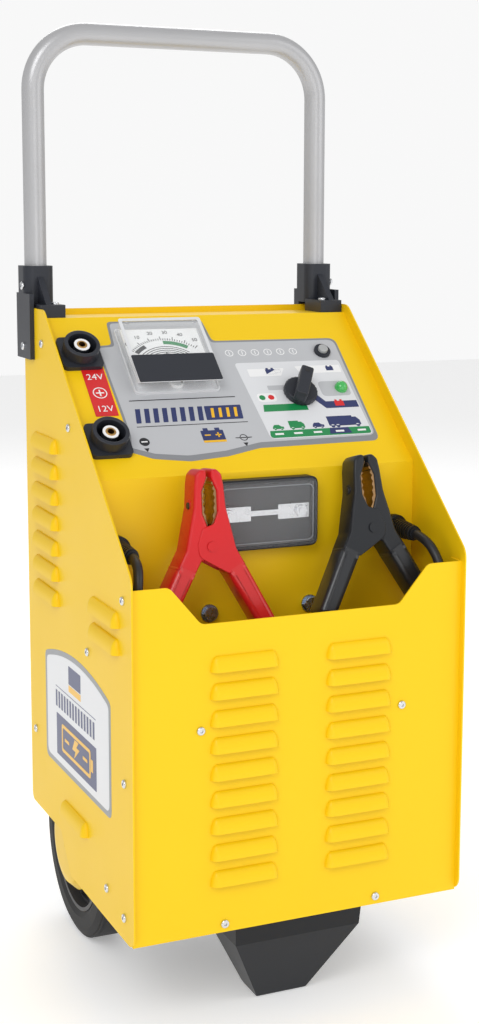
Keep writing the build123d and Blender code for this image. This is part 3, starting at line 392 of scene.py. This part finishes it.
# ---- side labels ------------------------------------------------------------------------------
for side, at in (("left", LEFT), ("right", RIGHT)):
    arch = [(x, 317.5 - 15.5 * (x / 102.0) ** 2, 0) for x in range(90, -91, -15)]
    outline = rounded([(-102, 193.5, 9), (102, 193.5, 9), (102, 302, 9)] + arch + [(-102, 302, 9)])
    small = [(x * 0.945, 255 + (z - 255) * 0.915) for x, z in outline]
    film(f"{side}_label_edge", [outline], 0, label_edge, at)
    film(f"{side}_label_field", [small], 1, label_pale, at)
    film(f"{side}_label_block", [box_outline(-65, 60, 206, 248, 1)], 2, ink_blue, at)
    film(f"{side}_label_sign", [box_outline(-48, 43, 213, 241, 4), box_outline(-44.5, 39.5, 216.5, 237.5, 2),
                                box_outline(44, 50, 221, 233, 1)], 3, ink_yellow, at)
    bolt = [(-8, 217.5), (9, 230), (-1, 230), (6, 236.5), (-6, 236.5), (-14, 225), (-4, 225)]
    signs = [box_outline(x, x + 14, 225.4, 228.6, 1) for x in (-38, 19)]
    film(f"{side}_label_bolt", [bolt] + signs, 3, ink_yellow, at)
    film(f"{side}_label_bars", [box_outline(x, x + 5.2, 254.5, 271) for x in range(-67, 56, 9)]
         + [box_outline(-67, 59, 274.6, 275.3)], 2, ink_blue, at)
    film(f"{side}_label_badge", [box_outline(-24, 14, 287, 305, 1)], 2, ink_blue, at)
    film(f"{side}_label_badge_bar", [box_outline(-24, 14, 279.5, 286)], 2, ink_yellow, at)

# ---- meter face ---------------------------------------------------------------------------------
DIAL = 7.5                # height of the dial plate's face off the fascia
PIVOT = (-53.0, 121.0)    # centre of the printed scale
film("meter_scale_arc", [band(*PIVOT, 40.0, 44.5, 56, 90)], 0, ink_green, base=DIAL)
film("meter_scale_start", [band(*PIVOT, 40.0, 44.5, 118, 137)], 0, ink_black, base=DIAL)
ticks = []
for k in range(31):
    angle = 137 - 3 * k
    reach = 50.5 if k % 5 == 0 else 48.0
    ticks.append(band(*PIVOT, 45.5, reach, angle - 0.45, angle + 0.45, 1))
film("meter_ticks", ticks, 0, ink_black, base=DIAL)
film("meter_shade_lines", [band(*PIVOT, r, r + 0.7, 50, 134, 20) for r in (24, 26.5, 29, 31.5, 34, 36.5)],
     0, ink_black, base=DIAL)
figures = []
for k in range(6):
    angle = math.radians(133 - 16 * k)
    figures.append((str(10 * k), PIVOT[0] + 56 * math.cos(angle), PIVOT[1] + 56 * math.sin(angle), 6.0))
lettering("meter_figures", figures + [("A", PIVOT[0], 147.5, 7.0)], FASCIA, ink_black, 1, base=DIAL)
slab("meter_mask", [box_outline(-95.5, -10.5, 102.5, 138, 2)], 17.5, 0.6, 0.3,
     FASCIA, charcoal)
slab("meter_cover_rim", [box_outline(-95.8, -10.2, 102.2, 187.8, 3), box_outline(-92.5, -13.5, 105, 184.5, 2)],
     17.2, 0.35, 0.2, FASCIA, label_pale)
slab("meter_skirt", [box_outline(-94, -12, 105.3, 112, 1)], 15.6, 0.3, 0.1,
     FASCIA, label_pale)
slab("meter_screw_caps", [disc(-88, 181, 2.2, 16), disc(-18, 181, 2.2, 16)], 17.6, 0.3, 0.2,
     FASCIA, zinc)

# ---- knob, sockets and fuse box ------------------------------------------------------------------
knob_at = FASCIA @ Matrix.Translation((73.5, 95, 0)) @ Matrix.Rotation(math.radians(62), 4, "Z")
knob_bar = slab("selector_bar", [box_outline(-19, 20.5, -6.4, 6.4, 2.6)], 14.4, 6.6, 1.6,
                knob_at, charcoal, "selector")
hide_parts("selector_knob")
slab("selector_skirt", [disc(0, 0, 16.9, 48)], 4.0, 3.4, 1.4, knob_at, charcoal, "selector")
slab("selector_shaft", [disc(0, 0, 3.0, 24)], -7.5, 8.5, 0.3, knob_at, charcoal, "selector")
slab("selector_mark", [disc(14.5, 0, 2.9, 20)], 21.0, 0.22, 0.1,
     knob_at, ink_black, "selector")
slab("selector_scallops", [rounded([(16.9 * math.cos(a) + 1.3 * u * math.cos(a) - 1.2 * v * math.sin(a),
                                     16.9 * math.sin(a) + 1.3 * u * math.sin(a) + 1.2 * v * math.cos(a), 0.5)
                                    for u, v in ((-1, -1), (0.1, -1), (0.1, 1), (-1, 1))])
                           for a in [math.radians(15 * k) for k in range(24)]],
     4.0, 2.8, 0.2, knob_at, charcoal, "selector")
for name, s in (("socket_24v", 156.5), ("socket_12v", 45.0)):
    slab(f"{name}_liner", [disc(-139, s, 7.7, 40), disc(-139, s, 5.05, 40)], 14.7, 0.5, 0.2,
         FASCIA, ink_white)
WALL = place((0, -74.3, 0), (1, 0, 0), (0, 0, 1), (0, -1, 0))
slab("fuse_cover_line", [box_outline(-46, 49, 430, 484, 6), box_outline(-45, 48, 431, 483, 5.5)],
     14.55, 0.2, 0.1, WALL, label_edge)
slab("fuse_seal", [box_outline(-52, 55, 423.5, 490.5, 8), box_outline(-49, 52, 426.5, 487.5, 6.5)],
     10.6, 0.9, 0.5, WALL, black)

# ---- wheels: raised tread ribs ---------------------------------------------------------------------
for side, x0 in (("left", -1), ("right", 1)):
    bpy.ops.object.select_all(action="DESELECT")
    rings = []
    for offset in (106.0, 113.0, 120.0, 127.0, 134.0):
        bpy.ops.mesh.primitive_torus_add(
            major_segments=96, minor_segments=8, major_radius=95.4 * MM, minor_radius=1.55 * MM,
            location=(x0 * offset * MM, 80.5 * MM, 97 * MM), rotation=(0, math.pi / 2, 0))
        rings.append(bpy.context.object)
    for ring in rings:
        ring.select_set(True)
    bpy.ops.object.join()
    tread = bpy.context.object
    tread.name = f"{side}_tread_ribs"
    bpy.ops.object.transform_apply(location=True, rotation=True, scale=True)
    bpy.ops.object.shade_smooth()
    tread.data.materials.clear()
    tread.data.materials.append(tyre)
    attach(tread, f"{side}_wheel")

# ---- clamps ------------------------------------------------------------------------------------------
S, C = math.sin(math.radians(28.5)), math.cos(math.radians(28.5))
HIP = (24.5, -3.0)


def along(d, w):
    """A point on the handle: d down its length from the hip, w across it towards the middle."""
    return (HIP[0] + d * S - w * C, HIP[1] - d * C - w * S)


SHELL = [(1.9, 16, 1), (7, 30, 4), (7, 50, 4), (1.9, 62, 2), (1.9, 69.5, 3), (7.5, 69.8, 5), (12.4, 65, 6),
         (14, 55, 8), (15.5, 35, 20), (20.5, 14, 20), (24.3, -3, 12), (*along(18, 0), 3),
         (*along(18, 17.5), 3), (9.5, -13, 5), (0.5, -14, 1), (0.5, 14, 1)]
MOVING_SHELL = SHELL[:-2] + [(7.9, -13.2, 0.5), (0.8, -0.5, 0.3), (0.6, 14, 0.5)]
CHEEK = [(-8, 17, 6), (-13.5, 2, 8), (-12, -9, 8), (2, -17.5, 8), (*along(16, 18), 3), (*along(16, 1), 3),
         (23.5, -3, 10), (19.5, 14, 18), (14.8, 34, 10), (8.5, 34, 4), (3, 20, 5)]
SLEEVE = [(*along(15, -0.6), 4), (*along(81.4, -0.2), 6), (*along(81.4, 17.6), 6), (*along(15, 18.4), 4)]
SEAM = [(*along(24, 3), 0.5), (*along(70, 4.5), 0.5), (*along(70, 5.5), 0.5), (*along(24, 4), 0.5)]
COLLAR = [(*along(15, -0.8), 2), (*along(19, -0.8), 2), (*along(19, 18.6), 2), (*along(15, 18.6), 2)]
TEETH = [(1.9, 62), (4.2, 60), (3.0, 57), (5.2, 55), (4.0, 52), (5.8, 50), (4.6, 47), (6.2, 44), (4.8, 41),
         (6.0, 38), (4.4, 35), (5.4, 31), (3.4, 28), (4.0, 24), (1.9, 20), (1.9, 17), (7.1, 30), (7.1, 50)]

clamp_pieces = {}
for side, pivot, lean, fixed_on in (("positive", (-70, -112, 437.5), 6, 1),
                                    ("negative", (95, -109.5, 440.5), 14, -1)):
    t = math.radians(lean)
    coat, sleeve = (red, red_sleeve) if side == "positive" else (satin_black, black_sleeve)
    made = clamp_pieces[side] = []
    for arm, hand in (("fixed", fixed_on), ("moving", -fixed_on)):
        body = "root" if arm == "fixed" else f"{side}_clamp_arm"
        at = place(pivot, (1, 0, 0), (0, math.sin(t), math.cos(t)), (0, -math.cos(t), math.sin(t)))

        def turned(points):
            flat = [(hand * x, y) for x, y in points]
            return flat if hand > 0 else flat[::-1]

        half = 14.4 if arm == "fixed" else 13.6
        outline = SHELL if arm == "fixed" else MOVING_SHELL
        shell = slab(f"{side}_{arm}_shell", [turned(rounded(outline))], 0, half, 2.6, at, coat, body)
        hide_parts(f"{side}_{arm}_arm")
        made.append(shell)
        if arm == "fixed":
            for v in (13.1, -13.1):
                made.append(slab(f"{side}_cheek_{'front' if v > 0 else 'back'}", [turned(rounded(CHEEK))],
                                 v, 1.35, 0.8, at, coat, body))
        for part, shape, height, half, edge in (
                ("sleeve", SLEEVE, 0, 14.4, 5.2), ("collar", COLLAR, 0, 14.5, 5.2), ("seam", SEAM, 14.1, 0.5, 0.3)):
            made.append(slab(f"{side}_{arm}_{part}", [turned(rounded(shape))], height, half, edge,
                             at, sleeve, body))
        jaw = slab(f"{side}_{arm}_teeth", [turned(TEETH)], 0, 11.8, 0.4, at, copper, body)
        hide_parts(f"{side}_{arm}_jaw")
        made.append(jaw)
        outwards = Matrix.Rotation(hand * math.radians(86), 4, "Y")
        rivet_at = at @ Matrix.Translation((hand * 14.6, 37, 0)) @ outwards
        made.append(slab(f"{side}_{arm}_rivet_boss", [disc(0, 0, 5.6)], 0.2, 1.2, 0.6,
                         rivet_at, coat, body))
        made.append(slab(f"{side}_{arm}_rivet", [disc(0, 0, 3.4)], 1.2, 1.0, 0.8,
                         rivet_at, ink_black, body))
    for part in ("pivot_pin", "spring"):
        made.append(nodes[f"{side}_{part}"])

# ---- leads -------------------------------------------------------------------------------------------
COIL_Y, ARC_R = -122.5, 39.6


def turns(x, z0, z1, count, way):
    """Stored turns round a stadium, from its front; way +1 goes round to the right first."""
    one = [(x + 24 + ARC_R * math.cos(math.radians(a)), COIL_Y + ARC_R * math.sin(math.radians(a)))
           for a in (-75, -45, -15, 15, 45, 75)]
    one += [(x - 24 + ARC_R * math.cos(math.radians(a)), COIL_Y + ARC_R * math.sin(math.radians(a)))
            for a in (105, 135, 165, 195, 225, 255)]
    if way < 0:
        one = one[::-1]
    total = len(one) * count
    return [(*one[k % len(one)], z0 + (z1 - z0) * k / (total - 1)) for k in range(total)]


negative_route = [
    (-143, -119.5, 433.5), (-144, -135, 431), (-147, -146, 420), (-149.5, -149, 404),
    (-149, -144, 387), (-145.5, -136, 370), (-141.5, -130.5, 355), (-140, -128, 338), (-140.5, -129, 323),
    (-138, -134, 309), (-129, -143, 301), (-116, -151.5, 299.3), (-103, -158.5, 299.3),
] + turns(-92.5, 299.5, 331.0, 3, 1) + [
    (-92, -161.6, 331.1), (-74, -161.6, 331.2),
    (-58, -161, 331.2), (-40, -160, 331.8), (-21, -155, 334), (-2, -148.5, 337.6), (12.7, -140.6, 342.4),
    (24.6, -135.3, 347.6), (31.5, -132.2, 352.5), (36, -130.2, 357.5), (39.3, -128.7, 363.5),
    (46.3, -125.6, 375.9),
]
positive_route = [
    (143, -119.5, 433.5), (144, -138.5, 431), (146.5, -152, 420), (149, -159.5, 404.5),
    (149.5, -162, 387.5), (148.5, -162, 371), (144, -161.8, 355), (134, -161.4, 341.5),
    (119.5, -161, 333.5), (103, -161.4, 331.2), (86, -161.6, 331.2),
] + turns(92.5, 330.8, 299.6, 3, -1) + [
    (92, -161.6, 299.3), (78, -161.6, 299.2),
    (66, -161, 299.2), (50, -160.4, 299.5), (34.5, -157, 301.5), (23, -150, 307), (13.5, -141, 316),
    (5.5, -132.5, 327), (-2, -125.5, 337.5), (-8.6, -121.4, 348), (-14.3, -120.3, 358.5),
    (-21.2, -119.0, 371.2),
]
for side, route in (("negative", negative_route), ("positive", positive_route)):
    curve = bpy.data.curves.new(f"{side}_cable", "CURVE")
    curve.dimensions = "3D"
    spline = curve.splines.new("NURBS")
    spline.points.add(len(route) - 1)
    for point, (x, y, z) in zip(spline.points, route):
        point.co = (x * MM, y * MM, z * MM, 1)
    spline.order_u = 3
    spline.use_endpoint_u = True
    curve.resolution_u = 8
    piece = bpy.data.objects.new(f"{side}_cable", curve)
    bpy.context.scene.collection.objects.link(piece)
    line = bpy.data.meshes.new_from_object(piece)
    curve.bevel_depth = 4.5 * MM
    curve.bevel_resolution = 6
    curve.use_fill_caps = True
    curve.materials.append(cable)
    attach(piece, "root")
    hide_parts(f"{side}_lead", f"{side}_coil")

# ---- studio ------------------------------------------------------------------------------------------
bpy.ops.object.select_all(action="DESELECT")
bpy.ops.mesh.primitive_plane_add(size=12, location=(0, 0, 0))
ground = bpy.context.object
ground.name = "studio_floor"
ground.data.materials.append(floor_white)
for name, spot, size, power in (
        ("key", (-2.0, -2.4, 2.6), 1.8, 44), ("fill", (2.4, -2.0, 1.6), 2.2, 18),
        ("rim", (0.6, 2.2, 2.4), 1.6, 24), ("front", (-0.2, -3.2, 0.8), 1.6, 9)):
    light = bpy.data.lights.new(name, "AREA")
    light.size, light.energy = size, power
    lamp = bpy.data.objects.new(name, light)
    bpy.context.scene.collection.objects.link(lamp)
    lamp.location = spot
    lamp.rotation_euler = (Vector((0, 0, 0.45)) - Vector(spot)).to_track_quat("-Z", "Y").to_euler()
world = bpy.data.worlds.new("studio")
bpy.context.scene.world = world
world.use_nodes = True
sky, link = world.node_tree.nodes, world.node_tree.links.new
lit, seen, choose, rays = (sky["Background"], sky.new("ShaderNodeBackground"), sky.new("ShaderNodeMixShader"),
                           sky.new("ShaderNodeLightPath"))
lit.inputs[0].default_value, lit.inputs[1].default_value = (1, 1, 1, 1), 0.6
seen.inputs[0].default_value, seen.inputs[1].default_value = (1, 1, 1, 1), 0.94
link(rays.outputs["Is Camera Ray"], choose.inputs[0])
link(lit.outputs[0], choose.inputs[1])
link(seen.outputs[0], choose.inputs[2])
link(choose.outputs[0], sky["World Output"].inputs["Surface"])
bpy.context.scene.view_settings.view_transform = "Standard"
